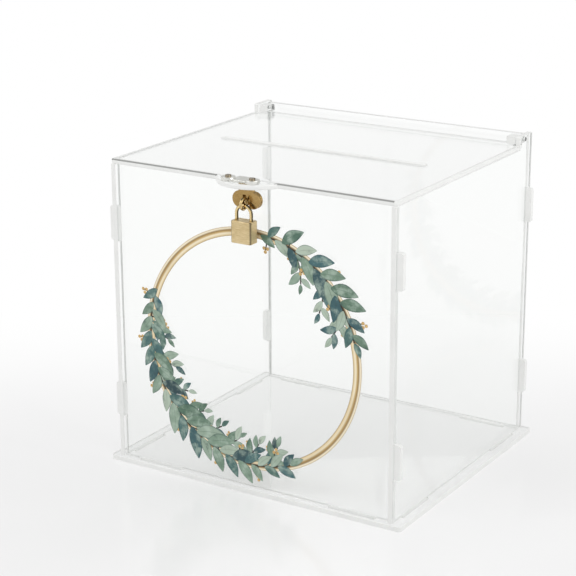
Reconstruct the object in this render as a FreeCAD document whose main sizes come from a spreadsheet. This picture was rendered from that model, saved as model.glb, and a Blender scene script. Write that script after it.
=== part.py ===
# Clear acrylic card box with a hinged, slotted lid and a small brass padlock.
# Millimetres, +Z up, front towards -Y, origin at the centre of the base plate's underside.
import FreeCAD, Part
import Sketcher
import math
import os

from FreeCAD import Rotation, Vector

# Driving sizes: name, value, meaning
SIZES = [
    ("box_width", 250.0, "between the outer faces of the side panels"),
    ("box_depth", 224.0, "front edge to rear edge of the side panels"),
    ("wall_top", 246.0, "top of the front and side panels above the table"),
    ("sheet_gauge", 4.0, "acrylic sheet of the walls and the lid"),
    ("base_gauge", 4.0, "acrylic sheet of the base plate"),
    ("base_side_overhang", 8.0, "base plate past the side panels"),
    ("base_front_overhang", 2.5, "base plate past the side panels' front and rear edges"),
    ("base_round", 3.0, "corner radius of the base plate"),
    ("panel_inset", 3.0, "front and back panels behind the side panels' edges"),
    ("tab_height", 28.0, "wall tabs that pass through the side panels"),
    ("tab_inset", 48.0, "middle of a wall tab from the end of the wall"),
    ("tab_proud", 4.5, "wall tabs past the side panels"),
    ("tab_round", 2.0, "corner radius of every tab"),
    ("tab_play", 0.15, "gap on each side of a tab in its slot"),
    ("foot_tab_width", 40.0, "tabs of the walls in the base plate"),
    ("foot_tab_inset", 37.0, "middle of a foot tab from the box's corner"),
    ("foot_tab_recess", 0.3, "foot tabs end above the base plate's underside"),
    ("ear_length", 22.0, "hinge ear along the side panel"),
    ("ear_rise", 11.0, "hinge ear above the wall top"),
    ("ear_round", 1.5, "corner radius of the hinge ear"),
    ("back_rise", 10.0, "back panel above the wall top"),
    ("lid_rest_gap", 0.2, "lid above the wall top when closed"),
    ("lid_rear_gap", 6.5, "lid's rear edge in front of the back panel"),
    ("lid_ear_gap", 0.5, "lid and lug beside the hinge ear"),
    ("lid_notch_gap", 2.0, "lid notch in front of the hinge ear"),
    ("lid_round", 2.0, "front corner radius of the lid"),
    ("card_slot_length", 184.0, "slot for cards in the lid"),
    ("card_slot_width", 6.0, "slot for cards in the lid"),
    ("card_slot_round", 2.0, "corner radius of the card slot"),
    ("tongue_radius", 30.0, "round tongue at the lid's front"),
    ("tongue_reach", 17.0, "tongue past the lid's front edge"),
    ("pivot_above_lid", 3.0, "hinge axis above the lid's top face"),
    ("pivot_from_rear", 12.0, "hinge axis in front of the side panels' rear edge"),
    ("pin_radius", 1.5, "hinge pin"),
    ("pin_play", 0.05, "radial gap of the hinge pin in the ear"),
    ("pin_seat_play", 0.02, "radial gap of the hinge pin in its lug"),
    ("lug_width", 8.0, "hinge lug along the axis"),
    ("lug_front", 9.0, "hinge lug in front of the axis"),
    ("lug_round", 2.8, "rear corner radius of the hinge lug"),
    ("brass_gauge", 2.0, "eye plate and drop plate"),
    ("plate_gap", 0.3, "drop plate in front of the eye plate"),
    ("leaf_gauge", 1.6, "web of the catch bracket on the tongue"),
    ("pad_gauge", 2.6, "screw pads of the catch bracket"),
    ("pad_radius", 5.5, "screw pads of the catch bracket"),
    ("pad_spacing", 21.0, "between the two screws"),
    ("pad_reach", 8.5, "screws in front of the lid's front edge"),
    ("web_depth", 7.0, "web between the two screw pads"),
    ("leg_width", 13.0, "leg of the catch bracket through the tongue"),
    ("leg_play", 0.2, "gap round the leg in the tongue"),
    ("screw_radius", 1.2, "catch screws"),
    ("screw_play", 0.05, "radial gap of the catch screws"),
    ("screw_head_radius", 2.3, "catch screws"),
    ("screw_head_height", 1.2, "catch screws"),
    ("driver_slot", 0.6, "slot in a screw head, width and depth"),
    ("lobe_radius", 6.5, "two lower lobes of the brass plates"),
    ("lobe_spread", 5.6, "lower lobes from the middle"),
    ("lobe_rise", 2.2, "lower lobes above the padlock eye"),
    ("top_lobe_radius", 6.0, "upper lobe of the brass plates"),
    ("top_lobe_rise", 6.4, "upper lobe above the padlock eye"),
    ("fork_width", 5.6, "open fork of the drop plate, round the eye"),
    ("fork_rise", 6.0, "top of the fork above the padlock eye"),
    ("eye_drop", 13.6, "padlock eye below the wall top"),
    ("eye_radius", 4.0, "wire centre of the padlock eye's ring"),
    ("eye_wire", 1.2, "wire radius of the padlock eye"),
    ("collar_radius", 2.2, "collar between the eye's ring and its plate"),
    ("collar_length", 1.2, "collar between the eye's ring and its plate"),
    ("shank_radius", 1.5, "threaded shank of the padlock eye"),
    ("shank_play", 0.1, "radial gap of the shank in its holes"),
    ("shank_end", 4.0, "shank past the inside of the front panel"),
    ("washer_radius", 4.0, "washer of the padlock eye"),
    ("washer_gauge", 0.8, "washer of the padlock eye"),
    ("nut_radius", 3.2, "corner radius of the eye's six-sided nut"),
    ("nut_height", 2.4, "nut of the padlock eye"),
    ("nut_play", 0.02, "radial gap of the nut on the shank"),
    ("shackle_wire", 1.3, "wire radius of the shackle"),
    ("shackle_span", 12.8, "between the centres of the shackle's legs"),
    ("shackle_height", 10.0, "room under the shackle's arch above the case"),
    ("shackle_hang_gap", 0.25, "shackle's arch above the eye's wire"),
    ("shackle_play", 0.1, "radial gap of the shackle in the case"),
    ("heel_depth", 12.0, "long leg of the shackle in the case"),
    ("toe_depth", 5.0, "short leg of the shackle in the case"),
    ("leg_end_gap", 0.4, "room below a shackle leg in its bore"),
    ("case_width", 17.6, "padlock case"),
    ("case_depth", 10.0, "padlock case"),
    ("case_height", 17.0, "padlock case"),
    ("case_round", 1.6, "upright edges of the padlock case"),
    ("case_edge", 0.6, "top and bottom edges of the padlock case"),
    ("plug_radius", 3.2, "lock plug in the case's underside"),
    ("plug_length", 8.0, "lock plug"),
    ("plug_play", 0.05, "radial gap of the lock plug"),
    ("keyway_width", 0.9, "keyway in the lock plug"),
    ("keyway_length", 4.4, "keyway in the lock plug"),
    ("keyway_depth", 5.0, "keyway in the lock plug"),
    ("release_travel", 6.0, "case down the shackle when the lock is open"),
    ("keeper_radius", 0.5, "two small pins that keep the shackle and the plug in the case"),
    ("keeper_play", 0.15, "room round a keeper pin in its recess"),
    ("keeper_seat_play", 0.02, "radial gap of a keeper pin in the case"),
    ("keeper_length", 7.0, "keeper pins, from the back of the case"),
    ("heel_keeper_depth", 3.6, "shackle's keeper pin below the case's top"),
    ("plug_keeper_height", 5.8, "plug's keeper pin above the case's underside"),
    ("print_gauge", 0.2, "printed film on the front panel"),
    ("hoop_radius", 93.0, "middle of the printed hoop"),
    ("hoop_band", 7.0, "width of the printed hoop"),
    ("hoop_height", 116.0, "middle of the printed hoop above the table"),
    ("stem_band", 1.4, "printed stem of a leaf spray"),
    ("print_margin", 3.0, "panel left bare round the printed sprays"),
    ("leaf_length", 26.0, "longest printed leaf"),
    ("leaf_width", 9.0, "longest printed leaf"),
    ("leaf_pitch", 11.0, "along the stem from leaf to leaf"),
    ("berry_radius", 2.6, "printed berries"),
    ("berry_reach", 11.0, "printed berries from the stem"),
]

# Shares and angles of the printed sprays: degrees anticlockwise from the right
LARGE_SPRAY = (158, 292)
SMALL_SPRAY = (84, 14)
LEAF_SPLAY = 38
SMALL_LEAF = 0.7
BERRY_EVERY = 3

doc = FreeCAD.newDocument("card_box")
sheet = doc.addObject("Spreadsheet::Sheet", "Sizes")


class Size:
    """A length with its value now and the sheet expression that keeps it up to date."""

    def __init__(self, value, text):
        self.value = value
        self.text = text

    def __add__(self, other):
        other = as_size(other)
        return Size(self.value + other.value, f"({self.text} + {other.text})")

    def __sub__(self, other):
        other = as_size(other)
        return Size(self.value - other.value, f"({self.text} - {other.text})")

    def __mul__(self, factor):
        return Size(self.value * factor, f"({self.text} * {factor})")

    def __truediv__(self, factor):
        return Size(self.value / factor, f"({self.text} / {factor})")

    def __neg__(self):
        return Size(-self.value, f"(0 - {self.text})")


def as_size(number):
    """The same size, or a plain number as a size."""
    return number if isinstance(number, Size) else Size(float(number), f"{float(number)}")


class Sheet:
    """The driving sizes by name."""


def fill_sheet():
    """Write the driving sizes into the spreadsheet and hand them back by name."""
    named = Sheet()
    for row, (name, value, meaning) in enumerate(SIZES, start=1):
        sheet.set(f"A{row}", name)
        sheet.set(f"B{row}", str(value))
        sheet.set(f"C{row}", meaning)
        sheet.setAlias(f"B{row}", name)
        setattr(named, name, Size(value, f"Sizes.{name}"))
    doc.recompute()
    return named


size = fill_sheet()
ZERO = as_size(0)

# Places that several pieces share
half_width = size.box_width / 2
half_depth = size.box_depth / 2
wall_inner = half_width - size.sheet_gauge
front_face = size.panel_inset - half_depth
front_inside = front_face + size.sheet_gauge
back_face = half_depth - size.panel_inset - size.sheet_gauge
tab_levels = (size.base_gauge + size.tab_inset, size.wall_top - size.tab_inset)
ear_top = size.wall_top + size.ear_rise
ear_front = half_depth - size.ear_length
lid_bottom = size.wall_top + size.lid_rest_gap
lid_top = lid_bottom + size.sheet_gauge
lid_front = -half_depth
lid_rear = back_face - size.lid_rear_gap
lid_notch_x = wall_inner - size.lid_ear_gap
pivot_y = half_depth - size.pivot_from_rear
pivot_z = lid_top + size.pivot_above_lid
screw_x = size.pad_spacing / 2
screw_y = lid_front - size.pad_reach
drop_back = front_face - size.brass_gauge - size.plate_gap
drop_front = drop_back - size.brass_gauge
eye_z = size.wall_top - size.eye_drop
eye_y = front_face - size.brass_gauge - size.collar_length - size.eye_radius
shackle_axis_z = eye_z - size.eye_radius + size.eye_wire + size.shackle_hang_gap + size.shackle_wire
arch_z = shackle_axis_z - size.shackle_span / 2
case_top = shackle_axis_z - size.shackle_wire - size.shackle_height
leg_x = size.shackle_span / 2
heel_keeper_x = size.shackle_wire - leg_x
heel_keeper_z = case_top - size.heel_keeper_depth
plug_keeper_x = size.plug_radius
plug_keeper_z = case_top - size.case_height + size.plug_keeper_height


def bind(item, prop, length):
    """Tie a property to the sheet."""
    item.setExpression(prop, as_size(length).text)


def place(item, x=0, y=0, z=0):
    """Tie an object's position to the sheet."""
    for axis, length in zip("xyz", (x, y, z)):
        bind(item, f"Placement.Base.{axis}", length)


def toward(corner, other, distance):
    """The point at a distance from a corner on its level or upright edge to another corner."""
    x, y = corner[:2]
    step_x = other[0].value - x.value
    step_y = other[1].value - y.value
    if abs(step_x) > abs(step_y):
        return x + distance * math.copysign(1, step_x), y
    return x, y + distance * math.copysign(1, step_y)


def round_edge(start, corner, end, radius):
    """Quarter arc for a rounded corner, and whether it runs against the outline."""
    first = Vector(start[0].value, start[1].value)
    last = Vector(end[0].value, end[1].value)
    tip = Vector(corner[0].value, corner[1].value)
    centre = first + last - tip
    middle = centre + (tip - centre).normalize() * radius.value
    turn = (tip - first).cross(last - tip).z
    return Part.Arc(first, middle, last), turn < 0


def add_loop(sketch, corners):
    """Closed outline through the corners; a third entry rounds that corner."""
    points = []
    rounds = {}
    for index, corner in enumerate(corners):
        if len(corner) == 2:
            points.append(corner)
            continue
        rounds[len(points)] = corner
        points.append(toward(corner, corners[index - 1], corner[2]))
        points.append(toward(corner, corners[(index + 1) % len(corners)], corner[2]))
    edges = []
    for index, start in enumerate(points):
        end = points[(index + 1) % len(points)]
        backwards = False
        if index in rounds:
            edge, backwards = round_edge(start, rounds[index], end, rounds[index][2])
        else:
            first = Vector(start[0].value, start[1].value)
            last = Vector(end[0].value, end[1].value)
            edge = Part.LineSegment(first, last)
        number = sketch.addGeometry(edge, False)
        edges.append((number, 2, 1) if backwards else (number, 1, 2))
    for index, (number, first, last) in enumerate(edges):
        following, following_first, _ = edges[(index + 1) % len(edges)]
        sketch.addConstraint(Sketcher.Constraint("Coincident", number, last, following, following_first))
        if index in rounds:
            drive(sketch, ("Radius", number), rounds[index][2])
            drive_point(sketch, edges[index - 1][0], 2, points[index])
        else:
            drive_point(sketch, number, 1, points[index])


def drive(sketch, what, length):
    """Add a dimension to a sketch and tie it to the sheet."""
    number = sketch.addConstraint(Sketcher.Constraint(*what, length.value))
    bind(sketch, f"Constraints[{number}]", length)


def drive_point(sketch, number, end, point):
    """Dimension one end of an edge from the sketch's origin."""
    drive(sketch, ("DistanceX", -1, 1, number, end), point[0])
    drive(sketch, ("DistanceY", -1, 1, number, end), point[1])


def add_circle(sketch, x, y, radius):
    """Circle with its centre and radius tied to the sheet."""
    circle = Part.Circle(Vector(x.value, y.value), Vector(0, 0, 1), radius.value)
    number = sketch.addGeometry(circle, False)
    drive_point(sketch, number, 3, (x, y))
    drive(sketch, ("Radius", number), radius)


def rectangle(x_low, x_high, y_low, y_high, radius=None):
    """Corners of a rectangle, rounded if a radius is given."""
    corners = [(x_low, y_low), (x_high, y_low), (x_high, y_high), (x_low, y_high)]
    return [corner + (radius,) for corner in corners] if radius else corners


def new_body(name):
    """Empty body whose label names its file."""
    body = doc.addObject("PartDesign::Body", name)
    body.Label = name
    return body


def new_sketch(body, plane, name, loops=(), circles=()):
    """Sketch on one of the body's own planes."""
    sketch = body.newObject("Sketcher::SketchObject", name)
    support = [item for item in body.Origin.OriginFeatures if item.Role == plane][0]
    sketch.AttachmentSupport = (support, [""])
    sketch.MapMode = "FlatFace"
    for loop in loops:
        add_loop(sketch, loop)
    for circle in circles:
        add_circle(sketch, *circle)
    return sketch


def pad(body, sketch, length, reverse=False):
    """Thicken a sketch."""
    feature = body.newObject("PartDesign::Pad", sketch.Name + "_pad")
    feature.Profile = sketch
    feature.Reversed = reverse
    bind(feature, "Length", length)
    doc.recompute()
    return feature


def pocket(body, sketch, depth, reverse=False):
    """Cut a sketch out of the body, to a depth or right through, and make sure that it cuts."""
    before = body.Shape.Volume
    feature = body.newObject("PartDesign::Pocket", sketch.Name + "_pocket")
    feature.Profile = sketch
    feature.Reversed = reverse
    if depth is None:
        feature.Type = "ThroughAll"
    else:
        bind(feature, "Length", depth)
    doc.recompute()
    if body.Shape.Volume >= before:
        raise ValueError(f"{sketch.Name} cuts nothing")
    return feature


def sheet_part(name, plane, gauge, loops, circles=(), at=(0, 0, 0)):
    """Piece cut from flat sheet: an outline with its cut-outs, thickened."""
    body = new_body(name)
    pad(body, new_sketch(body, plane, name + "_outline", loops, circles), gauge)
    place(body, *at)
    return body


def box(name, x, y, z):
    """Block between low and high sizes on each axis."""
    item = doc.addObject("Part::Box", name)
    for prop, (low, high) in zip(("Length", "Width", "Height"), (x, y, z)):
        bind(item, prop, as_size(high) - low)
    place(item, x[0], y[0], z[0])
    return item


def rod(name, radius, length, at, direction=Vector(0, 0, 1)):
    """Cylinder from a point along a direction."""
    item = doc.addObject("Part::Cylinder", name)
    bind(item, "Radius", radius)
    bind(item, "Height", length)
    item.Placement.Rotation = Rotation(Vector(0, 0, 1), direction)
    place(item, *at)
    return item


def fuse(name, pieces):
    """Join pieces into one solid."""
    item = doc.addObject("Part::MultiFuse", name)
    item.Shapes = pieces
    item.Refine = True
    return item


def cut(name, base, tool):
    """Take a tool away from a base."""
    item = doc.addObject("Part::Cut", name)
    item.Base = base
    item.Tool = tool
    return item


def foot_tabs(low, middle, tip):
    """Corners of the tabs along a wall's bottom edge, left to right."""
    corners = []
    for centre in (-middle, middle):
        left = centre - size.foot_tab_width / 2
        right = centre + size.foot_tab_width / 2
        corners += [(left, low), (left, tip, size.tab_round), (right, tip, size.tab_round), (right, low)]
    return corners


def side_tabs(edge, tip):
    """Corners of the tabs up a wall's right edge, from the bottom."""
    corners = []
    for level in tab_levels:
        low = level - size.tab_height / 2
        high = level + size.tab_height / 2
        corners += [(edge, low), (tip, low, size.tab_round), (tip, high, size.tab_round), (edge, high)]
    return corners


def mirrored(corners):
    """The same corners on the other side, in the opposite order."""
    return [(-corner[0],) + corner[1:] for corner in reversed(corners)]


def tabbed_wall(name, top, outer_y, holes=()):
    """Front or back panel: tabs through both side panels and into the base plate."""
    right = side_tabs(wall_inner, half_width + size.tab_proud)
    outline = [(-wall_inner, size.base_gauge)]
    outline += foot_tabs(size.base_gauge, half_width - size.foot_tab_inset, size.foot_tab_recess)
    outline += [(wall_inner, size.base_gauge)] + right
    outline += [(wall_inner, top), (-wall_inner, top)] + mirrored(right)
    return sheet_part(name, "XZ_Plane", size.sheet_gauge, [outline], holes, (0, outer_y, 0))


def side_wall(name, outer_x):
    """Side panel: slots for the wall tabs, and the hinge ear with its bore."""
    outline = [(-half_depth, size.base_gauge)]
    outline += foot_tabs(size.base_gauge, half_depth - size.foot_tab_inset, size.foot_tab_recess)
    outline += [
        (half_depth, size.base_gauge),
        (half_depth, ear_top, size.ear_round),
        (ear_front, ear_top, size.ear_round),
        (ear_front, size.wall_top),
        (-half_depth, size.wall_top),
    ]
    loops = [outline]
    for wall_low in (front_face, back_face):
        for level in tab_levels:
            reach = size.tab_height / 2 + size.tab_play
            y_low = wall_low - size.tab_play
            y_high = wall_low + size.sheet_gauge + size.tab_play
            loops.append(rectangle(y_low, y_high, level - reach, level + reach))
    bore = (pivot_y, pivot_z, size.pin_radius + size.pin_play)
    return sheet_part(name, "YZ_Plane", size.sheet_gauge, loops, [bore], (outer_x, 0, 0))


def base_plate():
    """Base plate with a slot for each foot tab of the four walls."""
    edge_x = half_width + size.base_side_overhang
    edge_y = half_depth + size.base_front_overhang
    loops = [rectangle(-edge_x, edge_x, -edge_y, edge_y, size.base_round)]
    long_half = size.foot_tab_width / 2 + size.tab_play
    for wall_low in (front_face, back_face):
        for middle in (size.foot_tab_inset - half_width, half_width - size.foot_tab_inset):
            y_low = wall_low - size.tab_play
            y_high = wall_low + size.sheet_gauge + size.tab_play
            loops.append(rectangle(middle - long_half, middle + long_half, y_low, y_high))
    for wall_low in (-half_width, wall_inner):
        for middle in (size.foot_tab_inset - half_depth, half_depth - size.foot_tab_inset):
            x_low = wall_low - size.tab_play
            x_high = wall_low + size.sheet_gauge + size.tab_play
            loops.append(rectangle(x_low, x_high, middle - long_half, middle + long_half))
    return sheet_part("base_plate", "XY_Plane", size.base_gauge, loops)


def lid():
    """Lid with the tongue, the card slot, the leg's slot and the screw holes."""
    body = new_body("lid")
    notch_front = ear_front - size.lid_notch_gap
    outline = [
        (-half_width, lid_front, size.lid_round),
        (half_width, lid_front, size.lid_round),
        (half_width, notch_front),
        (lid_notch_x, notch_front),
        (lid_notch_x, lid_rear),
        (-lid_notch_x, lid_rear),
        (-lid_notch_x, notch_front),
        (-half_width, notch_front),
    ]
    pad(body, new_sketch(body, "XY_Plane", "lid_outline", [outline]), size.sheet_gauge)
    tongue = (ZERO, lid_front - size.tongue_reach + size.tongue_radius, size.tongue_radius)
    pad(body, new_sketch(body, "XY_Plane", "lid_tongue", (), [tongue]), size.sheet_gauge)
    slot_x = size.card_slot_length / 2
    slot_y = (lid_front + lid_rear) / 2
    slot_half = size.card_slot_width / 2
    card_slot = rectangle(-slot_x, slot_x, slot_y - slot_half, slot_y + slot_half, size.card_slot_round)
    leg_half = size.leg_width / 2 + size.leg_play
    leg_slot = rectangle(-leg_half, leg_half, drop_front - size.leg_play, drop_back + size.leg_play)
    hole = size.screw_radius + size.screw_play
    holes = [(-screw_x, screw_y, hole), (screw_x, screw_y, hole)]
    cut_outs = new_sketch(body, "XY_Plane", "lid_cut_outs", [card_slot, leg_slot], holes)
    pocket(body, cut_outs, None, True)
    place(body, 0, 0, lid_bottom)
    return body


def hinge_lug(name, low_x):
    """Block cemented on the lid, bored for the hinge pin."""
    rise = size.pivot_above_lid
    outline = [
        (pivot_y - size.lug_front, lid_top),
        (pivot_y + rise, lid_top),
        (pivot_y + rise, pivot_z + rise, size.lug_round),
        (pivot_y - size.lug_front, pivot_z + rise),
    ]
    bore = (pivot_y, pivot_z, size.pin_radius + size.pin_seat_play)
    return sheet_part(name, "YZ_Plane", size.lug_width, [outline], [bore], (low_x, 0, 0))


def hinge_pin(name, low_x):
    """Pin from the lug's inner end to the outside of the ear."""
    length = size.lug_width + size.lid_ear_gap + size.sheet_gauge
    return rod(name, size.pin_radius, length, (low_x, pivot_y, pivot_z), Vector(1, 0, 0))


def lobed_plate(name, front):
    """Three lobes of sheet brass round the padlock eye."""
    lobes = []
    places = [
        (-size.lobe_spread, size.lobe_rise, size.lobe_radius),
        (size.lobe_spread, size.lobe_rise, size.lobe_radius),
        (ZERO, size.top_lobe_rise, size.top_lobe_radius),
    ]
    for number, (x, rise, radius) in enumerate(places):
        at = (x, front, eye_z + rise)
        lobes.append(rod(f"{name}_lobe_{number}", radius, size.brass_gauge, at, Vector(0, 1, 0)))
    return lobes


def eye_plate():
    """Lobed plate on the front panel, bored for the eye's shank."""
    lobes = fuse("eye_plate_lobes", lobed_plate("eye_plate", front_face - size.brass_gauge))
    at = (0, front_face - size.brass_gauge, eye_z)
    bore = rod("eye_plate_bore", size.shank_radius + size.shank_play, size.brass_gauge, at, Vector(0, 1, 0))
    return cut("eye_plate", lobes, bore)


def catch_bracket():
    """Leaf on the tongue, its leg through the tongue and the forked drop plate in one bent strip."""
    pads = []
    bores = []
    for number, x in enumerate((-screw_x, screw_x)):
        pads.append(rod(f"catch_pad_{number}", size.pad_radius, size.pad_gauge, (x, screw_y, lid_top)))
        hole = size.screw_radius + size.screw_play
        bores.append(rod(f"catch_bore_{number}", hole, size.pad_gauge, (x, screw_y, lid_top)))
    web_y = (screw_y - size.web_depth / 2, screw_y + size.web_depth / 2)
    leaf_z = (lid_top, lid_top + size.leaf_gauge)
    web = box("catch_web", (-screw_x, screw_x), web_y, leaf_z)
    strip_x = (-size.leg_width / 2, size.leg_width / 2)
    neck = box("catch_neck", strip_x, (screw_y, drop_back), leaf_z)
    leg_z = (eye_z + size.top_lobe_rise, lid_top + size.leaf_gauge)
    leg = box("catch_leg", strip_x, (drop_front, drop_back), leg_z)
    lobes = lobed_plate("catch", drop_front)
    strip = fuse("catch_strip", pads + [web, neck, leg] + lobes)
    fork_x = (-size.fork_width / 2, size.fork_width / 2)
    fork_z = (eye_z + size.lobe_rise - size.lobe_radius, eye_z + size.fork_rise)
    fork = box("catch_fork", fork_x, (drop_front, drop_back), fork_z)
    return cut("catch_bracket", strip, fuse("catch_cut_outs", bores + [fork]))


def catch_screws():
    """Two slotted screws through the leaf into the tongue."""
    screws = []
    for number, x in enumerate((-screw_x, screw_x)):
        head_low = lid_top + size.pad_gauge
        grip = head_low - lid_bottom
        shank = rod(f"screw_shank_{number}", size.screw_radius, grip, (x, screw_y, lid_bottom))
        head_at = (x, screw_y, head_low)
        head = rod(f"screw_head_{number}", size.screw_head_radius, size.screw_head_height, head_at)
        slot_x = (x - size.screw_head_radius, x + size.screw_head_radius)
        slot_y = (screw_y - size.driver_slot / 2, screw_y + size.driver_slot / 2)
        head_top = head_low + size.screw_head_height
        slot = box(f"screw_slot_{number}", slot_x, slot_y, (head_top - size.driver_slot, head_top))
        screws.append(cut(f"screw_{number}", fuse(f"screw_solid_{number}", [shank, head]), slot))
    group = doc.addObject("Part::Compound", "catch_screws")
    group.Links = screws
    return group


def padlock_eye():
    """Ring in the upright plane across the panel, with a collar and a shank through the panel."""
    ring = doc.addObject("Part::Torus", "eye_ring")
    bind(ring, "Radius1", size.eye_radius)
    bind(ring, "Radius2", size.eye_wire)
    ring.Placement.Rotation = Rotation(Vector(0, 0, 1), Vector(1, 0, 0))
    place(ring, 0, eye_y, eye_z)
    collar_y = eye_y + size.eye_radius
    root = (0, collar_y, eye_z)
    collar = rod("eye_collar", size.collar_radius, size.collar_length, root, Vector(0, 1, 0))
    length = front_inside + size.shank_end - collar_y
    shank = rod("eye_shank", size.shank_radius, length, root, Vector(0, 1, 0))
    return fuse("padlock_eye", [ring, collar, shank])


def eye_washer():
    """Washer inside the front panel."""
    at = (0, front_inside, eye_z)
    disc = rod("washer_disc", size.washer_radius, size.washer_gauge, at, Vector(0, 1, 0))
    bore = rod("washer_bore", size.shank_radius + size.shank_play, size.washer_gauge, at, Vector(0, 1, 0))
    return cut("eye_washer", disc, bore)


def eye_nut():
    """Six-sided nut against the washer."""
    at = (0, front_inside + size.washer_gauge, eye_z)
    hexagon = doc.addObject("Part::Prism", "nut_hexagon")
    hexagon.Polygon = 6
    bind(hexagon, "Circumradius", size.nut_radius)
    bind(hexagon, "Height", size.nut_height)
    hexagon.Placement.Rotation = Rotation(Vector(0, 0, 1), Vector(0, 1, 0))
    place(hexagon, *at)
    bore = rod("nut_bore", size.shank_radius + size.nut_play, size.nut_height, at, Vector(0, 1, 0))
    return cut("eye_nut", hexagon, bore)


def padlock_shackle():
    """Round bar bent to an arch, with a long heel leg and a short toe leg."""
    arch = doc.addObject("Part::Torus", "shackle_arch")
    bind(arch, "Radius1", size.shackle_span / 2)
    bind(arch, "Radius2", size.shackle_wire)
    arch.Angle3 = 180
    arch.Placement.Rotation = Rotation(Vector(1, 0, 0), 90)
    place(arch, 0, eye_y, arch_z)
    heel_z = case_top - size.heel_depth
    heel = rod("shackle_heel", size.shackle_wire, arch_z - heel_z, (-leg_x, eye_y, heel_z))
    toe_z = case_top - size.toe_depth
    toe = rod("shackle_toe", size.shackle_wire, arch_z - toe_z, (leg_x, eye_y, toe_z))
    recess_x = (heel_keeper_x - size.keeper_radius - size.keeper_play, heel_keeper_x)
    recess_y = (eye_y - size.shackle_wire, eye_y + size.shackle_wire)
    room = size.keeper_radius + size.keeper_play
    recess_z = (heel_keeper_z - size.release_travel - room, heel_keeper_z + room)
    recess = box("shackle_recess", recess_x, recess_y, recess_z)
    return cut("padlock_shackle", fuse("shackle_bar", [arch, heel, toe]), recess)


def keeper_pin(name, x, z, radius):
    """Small pin, or the bore for one, from the back of the case."""
    back = eye_y + size.case_depth / 2
    return rod(name, radius, size.keeper_length, (x, back - size.keeper_length, z), Vector(0, 1, 0))


def case_block():
    """Brass block with softened edges, bored for the two legs and the plug."""
    body = new_body("case_block")
    half_x = size.case_width / 2
    half_y = size.case_depth / 2
    outline = rectangle(-half_x, half_x, -half_y, half_y, size.case_round)
    block = pad(body, new_sketch(body, "XY_Plane", "case_outline", [outline]), size.case_height, True)
    level_faces = []
    for number, face in enumerate(block.Shape.Faces, start=1):
        normal = face.normalAt(0, 0)
        if abs(normal.z) > abs(normal.x) + abs(normal.y):
            level_faces.append(f"Face{number}")
    edges = body.newObject("PartDesign::Fillet", "case_edges")
    edges.Base = (block, level_faces)
    bind(edges, "Radius", size.case_edge)
    doc.recompute()
    bore = size.shackle_wire + size.shackle_play
    heel = new_sketch(body, "XY_Plane", "case_heel", (), [(-leg_x, ZERO, bore)])
    pocket(body, heel, size.heel_depth + size.leg_end_gap)
    toe = new_sketch(body, "XY_Plane", "case_toe", (), [(leg_x, ZERO, bore)])
    pocket(body, toe, size.toe_depth + size.leg_end_gap)
    plug = new_sketch(body, "XY_Plane", "case_plug", (), [(ZERO, ZERO, size.plug_radius + size.plug_play)])
    bind(plug, "AttachmentOffset.Base.z", -size.case_height)
    pocket(body, plug, size.plug_length + size.leg_end_gap, True)
    place(body, 0, eye_y, case_top)
    return body


def padlock_case():
    """The bored block with the two keeper pins' bores."""
    bore = size.keeper_radius + size.keeper_seat_play
    heel_bore = keeper_pin("heel_keeper_bore", heel_keeper_x, heel_keeper_z, bore)
    plug_bore = keeper_pin("plug_keeper_bore", plug_keeper_x, plug_keeper_z, bore)
    return cut("padlock_case", case_block(), fuse("keeper_bores", [heel_bore, plug_bore]))


def lock_plug():
    """Round plug in the case's underside, with a keyway and a groove for its keeper pin."""
    low = case_top - size.case_height
    drum = rod("plug_drum", size.plug_radius, size.plug_length, (0, eye_y, low))
    slot_x = (-size.keyway_width / 2, size.keyway_width / 2)
    slot_y = (eye_y - size.keyway_length / 2, eye_y + size.keyway_length / 2)
    keyway = box("plug_keyway", slot_x, slot_y, (low, low + size.keyway_depth))
    room = size.keeper_radius + size.keeper_play
    groove_at = (0, eye_y, plug_keeper_z - room)
    rim = rod("plug_groove_rim", size.plug_radius, room * 2, groove_at)
    core = rod("plug_groove_core", size.plug_radius - room, room * 2, groove_at)
    groove = cut("plug_groove", rim, core)
    return cut("lock_plug", drum, fuse("plug_cut_outs", [keyway, groove]))


def hoop_decal():
    """Printed ring on the front panel."""
    circles = [
        (ZERO, size.hoop_height, size.hoop_radius + size.hoop_band / 2),
        (ZERO, size.hoop_height, size.hoop_radius - size.hoop_band / 2),
    ]
    return sheet_part("hoop_decal", "XZ_Plane", size.print_gauge, [], circles, (0, front_face, 0))


def on_front(angle, radius, layer_y):
    """Point of the front panel at an angle and a distance from the hoop's middle."""
    turn = math.radians(angle)
    return Vector(radius * math.cos(turn), layer_y, size.hoop_height.value + radius * math.sin(turn))


def film(edges):
    """Thin printed film inside a closed ring of edges."""
    face = Part.Face(Part.Wire(edges))
    return face.extrude(Vector(0, -size.print_gauge.value, 0))


def leaf_film(base, heading, scale):
    """Pointed leaf of two arcs from its base along a heading, as a share of the longest leaf."""
    length = size.leaf_length.value * scale
    width = size.leaf_width.value * scale
    turn = math.radians(heading)
    along = Vector(math.cos(turn), 0, math.sin(turn))
    across = Vector(-along.z, 0, along.x)
    tip = base + along * length
    belly = base + along * (length / 2)
    upper = Part.Arc(base, belly + across * (width / 2), tip).toShape()
    lower = Part.Arc(tip, belly - across * (width / 2), base).toShape()
    return film([upper, lower])


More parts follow.
